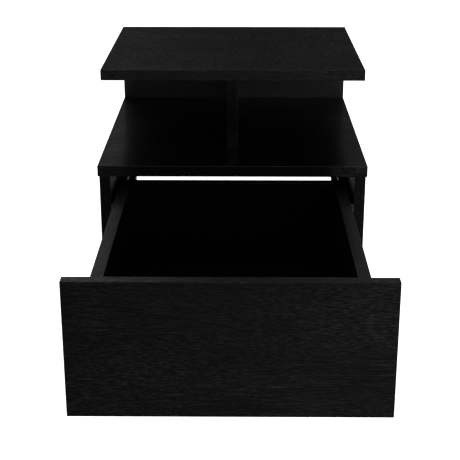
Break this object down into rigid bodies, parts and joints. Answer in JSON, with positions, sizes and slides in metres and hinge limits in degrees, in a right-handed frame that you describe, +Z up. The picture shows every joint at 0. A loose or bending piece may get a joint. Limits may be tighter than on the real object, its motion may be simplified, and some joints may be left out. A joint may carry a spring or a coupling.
{
  "type": "wall-hung bedside cabinet with drawer",
  "caption": "Black wood-grain wall-hung bedside cabinet: top board over an open divided shelf bay, and a full-extension drawer on ball slides, stored pulled out.",
  "frame": {"origin": "on the wall plane, midway between the two wall-screw holes of the wall rail", "axes": "+Y into the wall, +Z up, +X to the right as seen from the room"},
  "size_m": [0.365, 0.755, 0.3],
  "materials": {
    "wood_grain_board": "black melamine with a fine embossed wood grain, satin-matt",
    "edge_banding": "black wood-grain edge tape, satin",
    "hardboard": "black-faced thin hardboard, matt",
    "slide_steel": "zinc-plated rolled sheet steel, satin",
    "cage_steel": "thin plated steel, lightly greased",
    "ball_steel": "polished bearing balls",
    "cam_zinc": "die-cast zinc, matt",
    "screw_steel": "zinc-plated steel",
    "lever_plastic": "black nylon",
    "buffer_rubber": "soft dark rubber",
    "beech": "plain fluted beech"
  },
  "bodies": {
    "case": {"top_board": "wood_grain_board", "upper_back_panel": "wood_grain_board", "centre_divider": "wood_grain_board", "middle_board": "wood_grain_board", "case_side_left": "wood_grain_board", "case_side_right": "wood_grain_board", "bottom_panel": "wood_grain_board", "wall_rail": "wood_grain_board", "top_board_edging": "edge_banding", "upper_back_panel_edging": "edge_banding", "centre_divider_edging": "edge_banding", "middle_board_edging": "edge_banding", "case_side_left_edging": "edge_banding", "case_side_right_edging": "edge_banding", "bottom_panel_edging": "edge_banding", "wall_rail_edging": "edge_banding", "case_cam_locks": "cam_zinc", "case_cam_bolts": "screw_steel", "case_dowels": "beech", "case_screws": "screw_steel", "slide_cabinet_member_left": "slide_steel", "slide_case_screws_left": "screw_steel", "slide_cabinet_member_right": "slide_steel", "slide_case_screws_right": "screw_steel"},
    "drawer": {"drawer_front": "wood_grain_board", "drawer_side_left": "wood_grain_board", "drawer_side_right": "wood_grain_board", "drawer_back": "wood_grain_board", "drawer_front_edging": "edge_banding", "drawer_side_left_edging": "edge_banding", "drawer_side_right_edging": "edge_banding", "drawer_back_edging": "edge_banding", "drawer_bottom": "hardboard", "drawer_cam_locks": "cam_zinc", "drawer_cam_bolts": "screw_steel", "drawer_dowels": "beech", "drawer_back_screws": "screw_steel", "drawer_bottom_screws": "screw_steel", "drawer_front_buffers": "buffer_rubber", "slide_drawer_member_left": "slide_steel", "slide_drawer_screws_left": "screw_steel", "slide_lever_rivet_left": "screw_steel", "slide_drawer_member_right": "slide_steel", "slide_drawer_screws_right": "screw_steel", "slide_lever_rivet_right": "screw_steel"},
    "middle_member_left": {"slide_middle_member_left": "slide_steel"},
    "outer_ball_cage_left": {"slide_outer_ball_cage_left": "cage_steel", "slide_outer_balls_left": "ball_steel"},
    "inner_ball_cage_left": {"slide_inner_ball_cage_left": "cage_steel", "slide_inner_balls_left": "ball_steel"},
    "release_lever_left": {"slide_release_lever_left": "lever_plastic"},
    "middle_member_right": {"slide_middle_member_right": "slide_steel"},
    "outer_ball_cage_right": {"slide_outer_ball_cage_right": "cage_steel", "slide_outer_balls_right": "ball_steel"},
    "inner_ball_cage_right": {"slide_inner_ball_cage_right": "cage_steel", "slide_inner_balls_right": "ball_steel"},
    "release_lever_right": {"slide_release_lever_right": "lever_plastic"}
  },
  "joints": [
    {"name": "drawer_slide", "type": "slide", "parent": "case", "child": "drawer", "axis": [0, -1, 0], "range_m": [-0.35, 0]},
    {"name": "middle_member_left_travel", "type": "slide", "parent": "case", "child": "middle_member_left", "axis": [0, -1, 0], "range_m": [-0.175, 0]},
    {"name": "outer_ball_cage_left_travel", "type": "slide", "parent": "case", "child": "outer_ball_cage_left", "axis": [0, -1, 0], "range_m": [-0.0875, 0]},
    {"name": "inner_ball_cage_left_travel", "type": "slide", "parent": "case", "child": "inner_ball_cage_left", "axis": [0, -1, 0], "range_m": [-0.2625, 0]},
    {"name": "release_lever_left_press", "type": "hinge", "parent": "drawer", "child": "release_lever_left", "pos_m": [-0.1585, -0.631, -0.028], "axis": [1, 0, 0], "range_deg": [0, 5], "stiffness_Nm_per_rad": 0.6},
    {"name": "middle_member_right_travel", "type": "slide", "parent": "case", "child": "middle_member_right", "axis": [0, -1, 0], "range_m": [-0.175, 0]},
    {"name": "outer_ball_cage_right_travel", "type": "slide", "parent": "case", "child": "outer_ball_cage_right", "axis": [0, -1, 0], "range_m": [-0.0875, 0]},
    {"name": "inner_ball_cage_right_travel", "type": "slide", "parent": "case", "child": "inner_ball_cage_right", "axis": [0, -1, 0], "range_m": [-0.2625, 0]},
    {"name": "release_lever_right_press", "type": "hinge", "parent": "drawer", "child": "release_lever_right", "pos_m": [0.1585, -0.631, -0.028], "axis": [-1, 0, 0], "range_deg": [0, 5], "stiffness_Nm_per_rad": 0.6}
  ],
  "couplings": [
    {"joint": "middle_member_left_travel", "follows": "drawer_slide", "ratio": 0.5},
    {"joint": "outer_ball_cage_left_travel", "follows": "drawer_slide", "ratio": 0.25},
    {"joint": "inner_ball_cage_left_travel", "follows": "drawer_slide", "ratio": 0.75},
    {"joint": "middle_member_right_travel", "follows": "drawer_slide", "ratio": 0.5},
    {"joint": "outer_ball_cage_right_travel", "follows": "drawer_slide", "ratio": 0.25},
    {"joint": "inner_ball_cage_right_travel", "follows": "drawer_slide", "ratio": 0.75}
  ]
}
